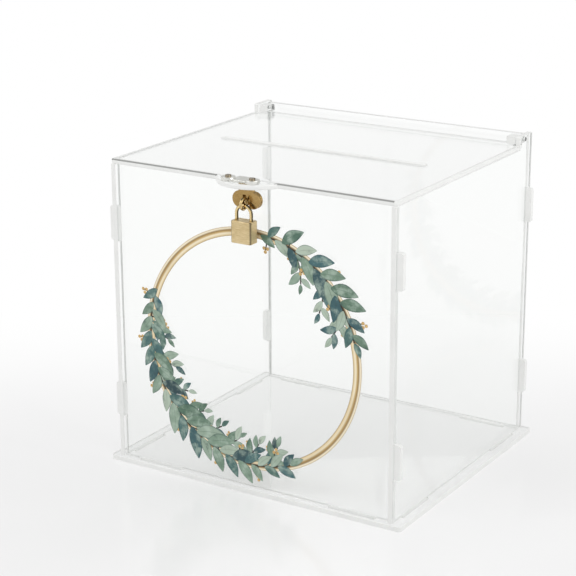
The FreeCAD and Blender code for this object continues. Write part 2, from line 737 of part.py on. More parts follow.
def stem_film(first, last, layer_y):
    """Printed stem along the hoop."""
    inner = size.hoop_radius.value - size.stem_band.value / 2
    outer = size.hoop_radius.value + size.stem_band.value / 2
    middle = (first + last) / 2
    ends = [on_front(first, inner, layer_y), on_front(last, inner, layer_y)]
    tops = [on_front(first, outer, layer_y), on_front(last, outer, layer_y)]
    return film([
        Part.Arc(ends[0], on_front(middle, inner, layer_y), ends[1]).toShape(),
        Part.LineSegment(ends[1], tops[1]).toShape(),
        Part.Arc(tops[1], on_front(middle, outer, layer_y), tops[0]).toShape(),
        Part.LineSegment(tops[0], ends[0]).toShape(),
    ])


def print_area(layer_y):
    """Block of film over the part of the front panel that takes print."""
    margin = size.print_margin.value
    half = wall_inner.value - margin
    low = size.base_gauge.value + margin
    corner = Vector(-half, layer_y - size.print_gauge.value, low)
    return Part.makeBox(2 * half, size.print_gauge.value, size.wall_top.value - margin - low, corner)


def leaf_spray(name, first, last):
    """Stem between two angles of the hoop, with leaves to both sides, a tip leaf and berries."""
    layer_y = front_face.value - size.print_gauge.value
    radius = size.hoop_radius.value
    way = math.copysign(1, last - first)
    run = math.radians(abs(last - first)) * radius
    count = int(run / size.leaf_pitch.value)
    pieces = [stem_film(first, last, layer_y)]
    berries = []
    for number in range(count):
        share = number / count
        angle = first + (last - first) * share
        side = 1 if number % 2 else -1
        scale = SMALL_LEAF + (1 - SMALL_LEAF) * math.sin(math.pi * share)
        heading = angle + way * 90 - way * side * LEAF_SPLAY
        base = on_front(angle, radius, layer_y)
        pieces.append(leaf_film(base, heading, scale))
        if number % BERRY_EVERY == 1:
            berries.append(on_front(angle, radius - side * size.berry_reach.value, layer_y))
    tip = on_front(last, radius - size.stem_band.value / 2, layer_y)
    pieces.append(leaf_film(tip, last + way * 90, SMALL_LEAF))
    for centre in berries:
        disc = Part.makeCylinder(size.berry_radius.value, size.print_gauge.value, centre, Vector(0, -1, 0))
        pieces.append(disc)
    item = doc.addObject("Part::Feature", name)
    item.Shape = pieces[0].multiFuse(pieces[1:]).removeSplitter().common(print_area(layer_y))
    return item


eye_hole = (ZERO, eye_z, size.shank_radius + size.shank_play)
nodes = [
    base_plate(),
    tabbed_wall("front_panel", size.wall_top, front_inside, [eye_hole]),
    tabbed_wall("back_panel", size.wall_top + size.back_rise, back_face + size.sheet_gauge),
    side_wall("left_panel", -half_width),
    side_wall("right_panel", wall_inner),
    hoop_decal(),
    leaf_spray("leaf_spray_large", *LARGE_SPRAY),
    leaf_spray("leaf_spray_small", *SMALL_SPRAY),
    eye_plate(),
    padlock_eye(),
    eye_washer(),
    eye_nut(),
    lid(),
    hinge_lug("hinge_lug_left", -lid_notch_x),
    hinge_lug("hinge_lug_right", lid_notch_x - size.lug_width),
    hinge_pin("hinge_pin_left", -half_width),
    hinge_pin("hinge_pin_right", lid_notch_x - size.lug_width),
    catch_bracket(),
    catch_screws(),
    padlock_shackle(),
    padlock_case(),
    keeper_pin("shackle_keeper_pin", heel_keeper_x, heel_keeper_z, size.keeper_radius),
    keeper_pin("plug_keeper_pin", plug_keeper_x, plug_keeper_z, size.keeper_radius),
    lock_plug(),
]

doc.recompute()
for item in doc.Objects:
    if "Invalid" in item.State or "Error" in item.State:
        raise ValueError(f"{item.Label} did not build")
os.makedirs("parts", exist_ok=True)
for node in nodes:
    if node.Shape.isNull() or not node.Shape.isValid():
        raise ValueError(f"{node.Label} has no valid shape")
for node in nodes:
    node.Shape.exportStep(f"parts/{node.Label}.step")
    limits = node.Shape.BoundBox
    print(
        f"{node.Label}: {len(node.Shape.Solids)} solid(s), {node.Shape.Volume:.1f} mm3, "
        f"x {limits.XMin:.2f}..{limits.XMax:.2f}, y {limits.YMin:.2f}..{limits.YMax:.2f}, "
        f"z {limits.ZMin:.2f}..{limits.ZMax:.2f}"
    )
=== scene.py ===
# %% [markdown]
# # A clear card box with a brass padlock
# This lesson dresses a measured model of a clear acrylic card box. The solids come in first as a fixed
# frame, and every finish and every finer piece is then made where those solids say. Lengths are in metres.

# %% Load the measured solids
import math

import bmesh
import bpy
from mathutils import Matrix, Vector


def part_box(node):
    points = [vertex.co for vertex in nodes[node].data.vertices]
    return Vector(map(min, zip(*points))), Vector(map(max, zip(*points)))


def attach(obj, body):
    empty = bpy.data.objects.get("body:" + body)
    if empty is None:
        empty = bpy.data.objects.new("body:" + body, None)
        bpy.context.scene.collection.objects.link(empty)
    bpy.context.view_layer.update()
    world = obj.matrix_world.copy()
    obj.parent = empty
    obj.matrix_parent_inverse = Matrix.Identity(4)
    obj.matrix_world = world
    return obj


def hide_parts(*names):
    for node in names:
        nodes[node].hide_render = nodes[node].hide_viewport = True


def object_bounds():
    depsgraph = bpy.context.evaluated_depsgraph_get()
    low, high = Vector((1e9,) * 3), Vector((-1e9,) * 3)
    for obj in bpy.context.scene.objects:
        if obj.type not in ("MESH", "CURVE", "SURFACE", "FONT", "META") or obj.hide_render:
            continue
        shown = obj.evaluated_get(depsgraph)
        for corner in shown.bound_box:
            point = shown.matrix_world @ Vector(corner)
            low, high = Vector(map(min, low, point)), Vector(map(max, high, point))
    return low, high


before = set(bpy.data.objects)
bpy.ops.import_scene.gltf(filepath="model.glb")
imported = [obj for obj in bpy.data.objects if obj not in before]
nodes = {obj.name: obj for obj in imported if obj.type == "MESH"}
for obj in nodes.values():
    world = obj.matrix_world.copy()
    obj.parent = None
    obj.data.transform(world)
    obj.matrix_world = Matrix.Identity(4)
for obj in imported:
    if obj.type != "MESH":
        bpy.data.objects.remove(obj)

MM = 0.001
cad_low, cad_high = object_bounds()
scene = bpy.context.scene
print("solids:", len(nodes), "size in mm:", [round(side / MM, 1) for side in cad_high - cad_low])

# %% [markdown]
# ## The camera
# The camera stands in front of the box, to its right and above it, with a long lens, so that the box's
# edges stay nearly parallel. It could be aimed by hand, but a fitted viewpoint, written as a place, three
# angles and a lens, is exact and easy to change.

# %% Place the camera
PICTURE_PIXELS = 576
FOCAL_PIXELS = 1775
SENSOR_MM = 36
CAMERA_PLACE = (0.697, -1.164, 0.568)
CAMERA_TURN = math.radians(32.17)
CAMERA_TILT = math.radians(17.66)
CAMERA_ROLL = math.radians(-0.26)

lens = bpy.data.cameras.new("box_camera")
lens.sensor_width = SENSOR_MM
lens.lens = FOCAL_PIXELS / PICTURE_PIXELS * SENSOR_MM
camera = bpy.data.objects.new("box_camera", lens)
scene.collection.objects.link(camera)
turned = Matrix.Rotation(CAMERA_TURN, 4, "Z")
tilted = Matrix.Rotation(math.pi / 2 - CAMERA_TILT, 4, "X")
rolled = Matrix.Rotation(CAMERA_ROLL, 4, "Z")
camera.matrix_world = Matrix.Translation(CAMERA_PLACE) @ turned @ tilted @ rolled
scene.camera = camera
scene.view_settings.view_transform = "Standard"
print("lens in mm:", round(lens.lens, 1))

# %% [markdown]
# ## Writing finishes as nodes
# Every finish below is a small tree of shader nodes. A helper that adds a node and sets its values in one
# call keeps each recipe short enough to read as a list of ingredients. Most of a noise's values lie between
# 0.3 and 0.7, so that range is named once. A Mix node has sockets for several kinds of value, and the
# numbers below are those for colours.

# %% A short way to write a finish
NOISE_LOW, NOISE_HIGH = 0.3, 0.7
MIX_FACTOR, MIX_FIRST, MIX_SECOND, MIX_RESULT = 0, 6, 7, 2


def grey(tone):
    """Colour with three equal parts."""
    return (tone,) * 3


class Finish:
    """A material with short ways to add and join its nodes."""

    def __init__(self, name):
        self.material = bpy.data.materials.new(name)
        self.material.use_nodes = True
        self.tree = self.material.node_tree
        self.shader = self.tree.nodes["Principled BSDF"]
        self.output = self.tree.nodes["Material Output"]

    def add(self, kind, settings=None, **inputs):
        """New node; settings are its properties, and inputs its plain values."""
        node = self.tree.nodes.new("ShaderNode" + kind)
        for name, value in (settings or {}).items():
            setattr(node, name, value)
        for name, value in inputs.items():
            node.inputs[name.replace("_", " ")].default_value = value
        return node

    def join(self, source, target):
        """Link two sockets."""
        self.tree.links.new(source, target)

    def drive(self, name, source):
        """Link a socket to an input of the shader."""
        self.join(source, self.shader.inputs[name])

    def set(self, **values):
        """Plain values on the shader's own sockets."""
        for name, value in values.items():
            self.shader.inputs[name.replace("_", " ")].default_value = value

    def place(self, stretch=(1, 1, 1), centre=(0, 0, 0)):
        """The piece's own coordinates, moved and stretched."""
        source = self.add("TexCoord")
        offset = [-c * s for c, s in zip(centre, stretch)]
        mapping = self.add("Mapping", Scale=stretch, Location=offset)
        self.join(source.outputs["Object"], mapping.inputs["Vector"])
        return mapping.outputs["Vector"]

    def axes(self, where):
        """The three numbers of a vector."""
        node = self.add("SeparateXYZ")
        self.join(where, node.inputs["Vector"])
        return node.outputs

    def noise(self, where, scale, detail=3.0, roughness=0.5):
        """Cloudy values at a scale."""
        node = self.add("TexNoise", Scale=scale, Detail=detail, Roughness=roughness)
        self.join(where, node.inputs["Vector"])
        return node.outputs["Fac"]

    def math(self, operation, first, second=0.0):
        """Sum, product and so on of two sockets or numbers."""
        node = self.add("Math", {"operation": operation})
        for value, target in zip((first, second), node.inputs):
            if isinstance(value, (int, float)):
                target.default_value = value
            else:
                self.join(value, target)
        return node.outputs["Value"]

    def span(self, value, low, high, to_low=0.0, to_high=1.0):
        """Map one range of values onto another, smoothly."""
        node = self.add("MapRange", {"interpolation_type": "SMOOTHSTEP"}, From_Min=low, From_Max=high,
                        To_Min=to_low, To_Max=to_high)
        self.join(value, node.inputs["Value"])
        return node.outputs["Result"]

    def ramp(self, value, stops):
        """Colours along a range: pairs of a place and a colour."""
        node = self.add("ValToRGB")
        elements = node.color_ramp.elements
        while len(elements) < len(stops):
            elements.new(0.5)
        for element, (at, colour) in zip(elements, stops):
            element.position = at
            element.color = (*colour, 1)
        self.join(value, node.inputs["Fac"])
        return node.outputs["Color"]

    def mix(self, factor, first, second, blend="MIX"):
        """Mix of two colours; each is a socket or a plain colour."""
        node = self.add("Mix", {"data_type": "RGBA", "blend_type": blend})
        if isinstance(factor, (int, float)):
            node.inputs[MIX_FACTOR].default_value = factor
        else:
            self.join(factor, node.inputs[MIX_FACTOR])
        for value, number in ((first, MIX_FIRST), (second, MIX_SECOND)):
            if isinstance(value, tuple):
                node.inputs[number].default_value = (*value, 1)
            else:
                self.join(value, node.inputs[number])
        return node.outputs[MIX_RESULT]

    def bump(self, height, strength, distance):
        """Small relief on the surface."""
        node = self.add("Bump", Strength=strength, Distance=distance)
        self.join(height, node.inputs["Height"])
        self.drive("Normal", node.outputs["Normal"])


print("ways to build a finish:", [name for name in vars(Finish) if not name.startswith("_")])

# %% [markdown]
# ## The studio
# A pale glossy table fades into a white sweep behind the box. The sweep could be a curved wall, but a table
# that turns white towards the back gives the same soft join, and keeps the box's reflection and shadow in
# front. Only the view, mirrors and clear sheets see that white, so it doesn't light the matt prints.

# %% Table
TABLE_HALF = 4.0
TABLE_DROP = 0.2 * MM
TABLE_TONE = 0.895
TONE_DRIFT = 0.01
TABLE_CLOUDS = 6.0
TABLE_ROUGHNESS = (0.13, 0.17)
FADE_FROM = -0.10
FADE_TO = 0.34

table_mesh = bpy.data.meshes.new("studio_table")
corners = [(-1, -1), (1, -1), (1, 1), (-1, 1)]
table_points = [(x * TABLE_HALF, y * TABLE_HALF, -TABLE_DROP) for x, y in corners]
table_mesh.from_pydata(table_points, [], [(0, 1, 2, 3)])
table = bpy.data.objects.new("studio_table", table_mesh)
scene.collection.objects.link(table)

finish = Finish("pale_table")
cloudy = finish.noise(finish.place(), TABLE_CLOUDS, detail=2.0)
table_stops = [(NOISE_LOW, grey(TABLE_TONE - TONE_DRIFT)), (NOISE_HIGH, grey(TABLE_TONE + TONE_DRIFT))]
finish.drive("Base Color", finish.ramp(cloudy, table_stops))
finish.drive("Roughness", finish.span(cloudy, NOISE_LOW, NOISE_HIGH, *TABLE_ROUGHNESS))
table_axes = finish.axes(finish.place())
away = finish.math("ADD", finish.math("MULTIPLY", table_axes["X"], -math.sin(CAMERA_TURN)),
                   finish.math("MULTIPLY", table_axes["Y"], math.cos(CAMERA_TURN)))
rays = finish.add("LightPath").outputs
mirrored = finish.math("MAXIMUM", rays["Is Glossy Ray"], rays["Is Transmission Ray"])
shown = finish.math("MAXIMUM", rays["Is Camera Ray"], mirrored)
sweep = finish.add("Emission", Strength=1.0)
blend = finish.add("MixShader")
finish.join(finish.math("MULTIPLY", finish.span(away, FADE_FROM, FADE_TO), shown), blend.inputs["Fac"])
finish.join(finish.shader.outputs["BSDF"], blend.inputs[1])
finish.join(sweep.outputs["Emission"], blend.inputs[2])
finish.join(blend.outputs["Shader"], finish.output.inputs["Surface"])
table_mesh.materials.append(finish.material)
print("table width in m:", 2 * TABLE_HALF, "nodes in its finish:", len(finish.tree.nodes))

# %% [markdown]
# ## Sky
# Clear acrylic shows only by what its edges bend and mirror, so an evenly white room would hide it. The sky
# is white low down, where the panes look, and greyer higher up, which draws the edges as fine grey lines.
# The view itself sees plain white.

# %% Sky that draws the edges
SKY_STOPS = [(0.0, 1.0), (0.18, 1.0), (0.42, 0.55), (0.7, 0.62), (1.0, 0.95)]

world = bpy.data.worlds.new("studio_sky")
scene.world = world
world.use_nodes = True
sky = world.node_tree
sky_light = sky.nodes["Background"]
direction = sky.nodes.new("ShaderNodeTexCoord")
sky_axes = sky.nodes.new("ShaderNodeSeparateXYZ")
sky_ramp = sky.nodes.new("ShaderNodeValToRGB")
while len(sky_ramp.color_ramp.elements) < len(SKY_STOPS):
    sky_ramp.color_ramp.elements.new(0.5)
for element, (height, tone) in zip(sky_ramp.color_ramp.elements, SKY_STOPS):
    element.position = height
    element.color = (*grey(tone), 1)
sky_path = sky.nodes.new("ShaderNodeLightPath")
sky_mix = sky.nodes.new("ShaderNodeMix")
sky_mix.data_type = "RGBA"
sky_mix.inputs[MIX_SECOND].default_value = (1, 1, 1, 1)
sky.links.new(direction.outputs["Generated"], sky_axes.inputs["Vector"])
sky.links.new(sky_axes.outputs["Z"], sky_ramp.inputs["Fac"])
sky.links.new(sky_path.outputs["Is Camera Ray"], sky_mix.inputs[MIX_FACTOR])
sky.links.new(sky_ramp.outputs["Color"], sky_mix.inputs[MIX_FIRST])
sky.links.new(sky_mix.outputs[MIX_RESULT], sky_light.inputs["Color"])
print("tones of the sky from low to high:", [tone for height, tone in SKY_STOPS])

# %% [markdown]
# ## Lamps
# Two soft lamps add gentle highlights to the brass, one from the front left and one from the right. A bare
# bulb would give hard sparks, so each lamp is a wide square aimed at the middle of the box.

# %% Two softboxes


def soft_lamp(name, place, size, power):
    """Square softbox aimed at the middle of the box."""
    data = bpy.data.lights.new(name, "AREA")
    data.shape = "SQUARE"
    data.size = size
    data.energy = power
    lamp = bpy.data.objects.new(name, data)
    scene.collection.objects.link(lamp)
    aim = (cad_low + cad_high) / 2 - Vector(place)
    lamp.matrix_world = Matrix.Translation(place) @ aim.to_track_quat("-Z", "Y").to_matrix().to_4x4()
    print(name, "distance in m:", round(aim.length, 2), "power in W:", power)


soft_lamp("front_softbox", place=(-0.9, -1.3, 1.3), size=1.0, power=10.0)
soft_lamp("side_softbox", place=(1.5, -0.2, 1.0), size=0.8, power=9.0)

# %% [markdown]
# ## Clear acrylic
# Cast acrylic is almost colourless, but a long look along the sheet, into its edge, shows a grey-green tint.
# A thin clear shell would lose that, so the sheets stay solid: a glass shader with a faint absorption
# inside. Handling leaves a little haze on the faces. A saw leaves an edge frosted, so it scatters light and
# looks pale. Some rims are a flat grey instead: painted shade that stands in for the dark lines a clear
# edge shows by bending light.

# %% Acrylic faces and cut edges
ACRYLIC_IOR = 1.49
TINT_COLOUR = (0.55, 0.66, 0.62, 1)
TINT_DENSITY = 0.8
FACE_HAZE = 0.012
HAZE_SCALE = 9.0
RUBBED_LOW, RUBBED_HIGH = 0.35, 0.75
RUB_STRENGTH = 0.02
RELIEF = 0.02 * MM
EDGE_CLOUDS = 54.0
EDGE_SHADES = [(NOISE_LOW, 0.97), (NOISE_HIGH, 1.03)]
EDGE_ROUGHNESS = (0.30, 0.36)


def clear_acrylic(name, colour, haze):
    """Solid clear sheet with a faint tint inside, and up to a little haze where it was handled."""
    made = Finish(name)
    made.set(Base_Color=colour, Transmission_Weight=1.0, IOR=ACRYLIC_IOR)
    rubbed = made.noise(made.place(), HAZE_SCALE, detail=4.0)
    made.drive("Roughness", made.span(rubbed, RUBBED_LOW, RUBBED_HIGH, 0.0, haze))
    made.bump(rubbed, RUB_STRENGTH, RELIEF)
    tint = made.add("VolumeAbsorption", Color=TINT_COLOUR, Density=TINT_DENSITY)
    made.join(tint.outputs["Volume"], made.output.inputs["Volume"])
    return made.material


def cut_acrylic(name, colour):
    """Opaque cut edge, slightly cloudy along its length: pale when frosted by the tool, grey as painted
    shade.
    """
    made = Finish(name)
    made.set(IOR=ACRYLIC_IOR)
    clouds = made.noise(made.place(), EDGE_CLOUDS, detail=4.0)
    stops = [(at, tuple(share * value for value in colour)) for at, share in EDGE_SHADES]
    made.drive("Base Color", made.ramp(clouds, stops))
    made.drive("Roughness", made.span(clouds, RUBBED_LOW, RUBBED_HIGH, *EDGE_ROUGHNESS))
    return made.material


clear_face = clear_acrylic("clear_acrylic_face", (0.985, 0.99, 0.985, 1), FACE_HAZE)
sawn_edge = cut_acrylic("clear_acrylic_sawn_edge", (0.80, 0.805, 0.79))
# Painted shade: this grey stands in for the dark lines that clear edges show by bending light.
painted_shade_edge = cut_acrylic("clear_acrylic_scraped_edge", (0.265, 0.27, 0.26))
SHEET_FINISHES = [clear_face, sawn_edge, painted_shade_edge]
print("acrylic finishes:", [material.name for material in SHEET_FINISHES])

# %% [markdown]
# ## Breaking edges
# A cut or stamped edge is never knife-sharp: its corners are broken by a light scrape, and that thin strip is
# what glints. The measured solids have sharp corners, so a solid is copied, its triangles are merged into
# whole faces, and a small bevel is run along every sharp edge. A Bevel modifier would do the same, but
# worked in code the faces can also be given their finishes one by one.

# %% Copy a solid, break its edges, make it a piece
MERGE = 0.002 * MM
FLAT = math.radians(0.5)
SHARP = math.radians(35)
SMOOTH_BELOW = math.radians(20)


def merged_shape(node):
    """A node's solid as whole faces, ready to work on."""
    source = nodes[node].data
    plain = bpy.data.meshes.new("plain")
    plain.from_pydata([v.co for v in source.vertices], [], [p.vertices[:] for p in source.polygons])
    shape = bmesh.new()
    shape.from_mesh(plain)
    bpy.data.meshes.remove(plain)
    bmesh.ops.remove_doubles(shape, verts=shape.verts, dist=MERGE)
    bmesh.ops.dissolve_limit(shape, angle_limit=FLAT, verts=shape.verts, edges=shape.edges)
    return shape


def break_edges(shape, ease):
    """Bevel every sharp edge by a small width."""
    sharp = [edge for edge in shape.edges if edge.is_manifold and edge.calc_face_angle() > SHARP]
    bmesh.ops.bevel(shape, geom=sharp, offset=ease, offset_type="OFFSET", segments=2, profile=0.5,
                    affect="EDGES", clamp_overlap=False)
    bmesh.ops.recalc_face_normals(shape, faces=shape.faces)


def finished_piece(name, shape, materials, body, replaced):
    """Turn a worked shape into a piece that rides on a body and stands for its node."""
    mesh = bpy.data.meshes.new(name)
    shape.to_mesh(mesh)
    shape.free()
    for material in materials:
        mesh.materials.append(material)
    mesh.shade_smooth()
    mesh.set_sharp_from_angle(angle=SMOOTH_BELOW)
    piece = bpy.data.objects.new(name, mesh)
    scene.collection.objects.link(piece)
    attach(piece, body)
    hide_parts(replaced)
    return piece


print("edges are broken where faces meet at over", round(math.degrees(SHARP)), "degrees")

# %% [markdown]
# ## Which edges are sawn and which are painted grey
# The narrow faces of every sheet are sawn. The base and the lid are sanded round as well, so their bevels
# are pale too, and so are the side walls'. The lid's front, left and rear rims and the walls' rear edges
# are painted grey, as painted shade for the dark lines that clear edges show by bending light. The tabs of
# the front and back panels are frosted all over where they come out of the side walls. All other faces stay
# clear. The rule looks at a face's place and at how far it leans.

# %% Finish of each face
CLEAR, SAWN, SHADED_EDGE = range(len(SHEET_FINISHES))
SAWN_LEAN = 0.2
SANDED_LEAN = 0.97
LONG_RIM = 12 * MM
SIDE_RIM = 2 * MM
RIM_SLACK = 1 * MM
TABBED = ("front_panel", "back_panel")
SIDE_WALLS = ("left_panel", "right_panel")
UPRIGHT_AXIS = 2

lid_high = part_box("lid")[1]
wall_low, wall_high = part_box("right_panel")


def number_by_place(elements, place):
    """Number points or faces by where they are, so that their order is the same at each run."""
    ranked = sorted(elements, key=lambda element: [round(value / MM, 3) for value in place(element)])
    ranks = {element: rank for rank, element in enumerate(ranked)}
    elements.sort(key=ranks.get)


def part_off_tabs(shape):
    """Cut the faces of a panel where its tabs come out of the side walls."""
    for x in (-wall_high.x, wall_high.x):
        everything = [*shape.verts, *shape.edges, *shape.faces]
        bmesh.ops.bisect_plane(shape, geom=everything, plane_co=(x, 0, 0), plane_no=(1, 0, 0))
    number_by_place(shape.verts, lambda vert: vert.co)
    number_by_place(shape.faces, lambda face: face.calc_center_median())


def on_painted_shade_rim(place):
    """True on the lid's straight front, left or rear rim, away from its tongue and its card slot."""
    at_front = wall_low.y - RIM_SLACK < place.y < wall_low.y + LONG_RIM
    at_rear = place.y > lid_high.y - LONG_RIM
    between_sides = abs(place.x) < lid_high.x - SIDE_RIM
    at_left = place.x < SIDE_RIM - lid_high.x
    return (at_front or at_rear) and between_sides or at_left


def edge_finish(face, node, thin_axis):
    """Which finish a face of a sheet has: clear, sawn or grey painted shade."""
    place = face.calc_center_median()
    if node in TABBED and abs(place.x) > wall_high.x:
        return SAWN
    # Grey rims of the lid and side walls are painted shade for the dark lines of clear edges.
    if node == "lid" and SAWN_LEAN < face.normal.z < SANDED_LEAN:
        return SHADED_EDGE if on_painted_shade_rim(place) else SAWN
    if node in SIDE_WALLS and SAWN_LEAN < abs(face.normal.x) < SANDED_LEAN:
        return SHADED_EDGE if place.y > wall_high.y - RIM_SLACK else SAWN
    lean_limit = SANDED_LEAN if thin_axis == UPRIGHT_AXIS else SAWN_LEAN
    return SAWN if abs(face.normal[thin_axis]) < lean_limit else CLEAR


print("walls stand", round(2 * wall_high.x / MM, 1), "mm apart over their outer faces")

# %% [markdown]
# ## The sheets
# The box is glued from flat sheets. Each is made from its own solid, with wider bevels on the lid, which is
# touched most. A clear sheet casts hardly any shadow, and light that bounced off it would be noise, so the
# sheets are left out of both.

# %% Make the sheets
PANEL_EASE = 0.22 * MM
WALL_EASE = 0.4 * MM
BASE_EASE = 0.4 * MM
LID_EASE = 1.0 * MM
# Each row: solid, body, number of the axis across the sheet, width of the broken edges.
SHEETS = [
    ("base_plate", "box", 2, BASE_EASE),
    ("front_panel", "box", 1, PANEL_EASE),
    ("back_panel", "box", 1, PANEL_EASE),
    ("left_panel", "box", 0, WALL_EASE),
    ("right_panel", "box", 0, WALL_EASE),
    ("lid", "lid", 2, LID_EASE),
    ("hinge_lug_left", "lid", 0, PANEL_EASE),
    ("hinge_lug_right", "lid", 0, PANEL_EASE),
]

for node, body, thin_axis, ease in SHEETS:
    shape = merged_shape(node)
    volume = shape.calc_volume()
    break_edges(shape, ease)
    if node in TABBED:
        part_off_tabs(shape)
    for face in shape.faces:
        face.material_index = edge_finish(face, node, thin_axis)
    open_edges = sum(not edge.is_manifold for edge in shape.edges)
    print(node, "volume kept:", round(shape.calc_volume() / volume, 4), "open edges:", open_edges)
    finish_count = max(face.material_index for face in shape.faces) + 1
    finishes = SHEET_FINISHES[:finish_count]
    sheet = finished_piece("clear_" + node, shape, finishes, body, node)
    sheet.visible_shadow = False
    sheet.visible_diffuse = False

# %% [markdown]
# ## Brass and steel
# The plates and the padlock are brass, brushed in one direction and lacquered. Stretched noise gives the
# brushing: it shifts the colour, the roughness and a slight bump together, as real scratches do. On the
# case's rounded corners and on the sides of the shackle's bar, dark strips are painted into the colour:
# painted reflections, like the dark streaks that round polished brass mirrors from the room. Those places
# are told from the piece's own box, so the painted strips stay put when the lock swings. The steel of screws
# and pins and the pale plating of the catch's leaf follow the same recipe.

# %% A brushed metal and its painted reflections
BRUSH_SHARE = 0.65
CLOUD_SHARE = 0.35
CLOUD_STRETCH = (90, 90, 90)
CORNER_REFLECTION_STRIPS = [(0.0, 1.0), (0.70, 1.0), (0.78, 0.30), (0.95, 0.34), (0.99, 1.0)]
CORNER_FROM, CORNER_TO = 0.81, 0.85
BAR_REFLECTION_TONES = [(0.0, 0.10), (0.66, 0.14), (0.88, 1.0)]


def brushed_metal(name, dark, light, roughness, stretch, depth, bare=1.0, painted_reflection=None):
    """Metal with brush lines along the axis that the stretch leaves long; lacquer makes it less bare."""
    made = Finish(name)
    made.set(Metallic=bare)
    lines = made.noise(made.place(stretch), 1.0, detail=5.0, roughness=0.6)
    clouds = made.noise(made.place(CLOUD_STRETCH), 1.0, detail=3.0)
    worn = made.math("ADD", made.math("MULTIPLY", lines, BRUSH_SHARE),
                     made.math("MULTIPLY", clouds, CLOUD_SHARE))
    colour = made.ramp(worn, [(NOISE_LOW, dark), (NOISE_HIGH, light)])
    # Painted reflections: dark strips multiplied into the colour, where a piece has them.
    if painted_reflection:
        colour = painted_reflection(made, colour)
    made.drive("Base Color", colour)
    smoothest, roughest = roughness
    made.drive("Roughness", made.span(worn, NOISE_LOW, NOISE_HIGH, roughest, smoothest))
    made.bump(lines, depth, RELIEF)
    return made.material


def outwards(made, node, axis):
    """How far out a place lies along an axis of a node's box: 0 in its middle plane and 1 on its outside."""
    low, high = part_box(node)
    offset = made.axes(made.place((1, 1, 1), (low + high) / 2))[axis]
    half = (high - low)["XYZ".index(axis)] / 2
    return made.math("DIVIDE", made.math("ABSOLUTE", offset), half)


def painted_dark_tones(made, colour, where, stops):
    """Colour darkened by tones along a range, as painted reflections."""
    return made.mix(1.0, colour, made.ramp(where, [(at, grey(tone)) for at, tone in stops]), "MULTIPLY")


def painted_corner_reflections(made, colour):
    """Painted reflections: dark strips on the rounded upright corners of the case."""
    dark = painted_dark_tones(made, colour, outwards(made, "padlock_case", "Y"), CORNER_REFLECTION_STRIPS)
    at_corner = made.span(outwards(made, "padlock_case", "X"), CORNER_FROM, CORNER_TO)
    return made.mix(at_corner, colour, dark)


def painted_bar_reflections(made, colour):
    """Painted reflections: dark sides on the shackle's bar, bright along its front and back."""
    return painted_dark_tones(made, colour, outwards(made, "padlock_shackle", "Y"), BAR_REFLECTION_TONES)


print("tones across the shackle's bar:", [tone for at, tone in BAR_REFLECTION_TONES])

# %% [markdown]
# ## The metals of this box
# Each metal is one line of the recipe: its dark and its light colour, how rough it is, how its brush lines
# stretch and how deep they are. The padlock's case is lacquered over its brushing, so it is only half bare.

# %% Mix the metals
plate_brass = brushed_metal("plate_brass", (0.29, 0.18, 0.06), (0.50, 0.34, 0.14),
                            (0.18, 0.34), (300, 900, 2600), 0.3)
case_brass = brushed_metal("case_brass", (0.46, 0.33, 0.14), (0.82, 0.67, 0.40),
                           (0.28, 0.44), (220, 700, 2600), 0.6, bare=0.45, painted_reflection=painted_corner_reflections)
shackle_brass = brushed_metal("shackle_brass", (0.66, 0.49, 0.22), (0.92, 0.74, 0.42),
                              (0.08, 0.16), (700, 700, 700), 0.1, painted_reflection=painted_bar_reflections)
wire_brass = brushed_metal("wire_brass", (0.34, 0.22, 0.08), (0.86, 0.68, 0.36),
                           (0.08, 0.16), (500, 500, 500), 0.1)
screw_steel = brushed_metal("screw_steel", (0.16, 0.13, 0.09), (0.46, 0.39, 0.29),
                            (0.22, 0.36), (900, 900, 900), 0.2)
pin_steel = brushed_metal("pin_steel", (0.16, 0.16, 0.16), (0.34, 0.34, 0.34),
                          (0.25, 0.40), (300, 2000, 2000), 0.2)
leaf_plate = brushed_metal("leaf_plate", (0.66, 0.66, 0.62), (0.84, 0.84, 0.80),
                           (0.30, 0.45), (300, 2600, 900), 0.3)
METALS = [plate_brass, case_brass, shackle_brass, wire_brass, screw_steel, pin_steel, leaf_plate]
print("metals:", [material.name for material in METALS])

# %% [markdown]
# ## Hardware
# Stamped parts also have broken edges, and on metal those edges carry the highlights. They get the same
# treatment as the sheets. Round bars and the rounded case are already smooth and only take their finish.
# The catch is brass below the lid and pale plated on its leaf above.

# %% Stamped parts and round parts
STAMPED_EASE = 0.25 * MM
# Each row: solid, body, finishes below and above the lid's top, material slot.
STAMPED = [
    ("eye_plate", "box", [plate_brass], "brass"),
    ("catch_bracket", "lid", [plate_brass, leaf_plate], "brass"),
    ("eye_washer", "box", [leaf_plate], "steel"),
    ("eye_nut", "box", [leaf_plate], "steel"),
]
ROUND_PARTS = [
    ("padlock_eye", wire_brass), ("padlock_shackle", shackle_brass), ("padlock_case", case_brass),
    ("lock_plug", wire_brass), ("shackle_keeper_pin", plate_brass), ("plug_keeper_pin", plate_brass),
    ("catch_screws", screw_steel), ("hinge_pin_left", pin_steel), ("hinge_pin_right", pin_steel),
]


def wear(node, material):
    """Give a node that stays as it is its finish."""
    for holder in nodes[node].material_slots:
        holder.material = material


for node, body, finishes, slot in STAMPED:
    shape = merged_shape(node)
    break_edges(shape, STAMPED_EASE)
    for face in shape.faces:
        above_lid = face.calc_center_median().z > lid_high.z
        face.material_index = int(above_lid and len(finishes) > 1)
    finished_piece("stamped_" + node, shape, finishes, body, node)

for node, material in ROUND_PARTS:
    wear(node, material)
print("metal parts:", len(STAMPED) + len(ROUND_PARTS))

# %% [markdown]
# ## The printed hoop
# The hoop is ink, not metal: a flat ring shaded across its width to look like a round gold bar. The shading
# follows the distance from the ring's middle, so one measured radius drives the whole ramp, and the dark
# core line grows and fades slowly round the ring.

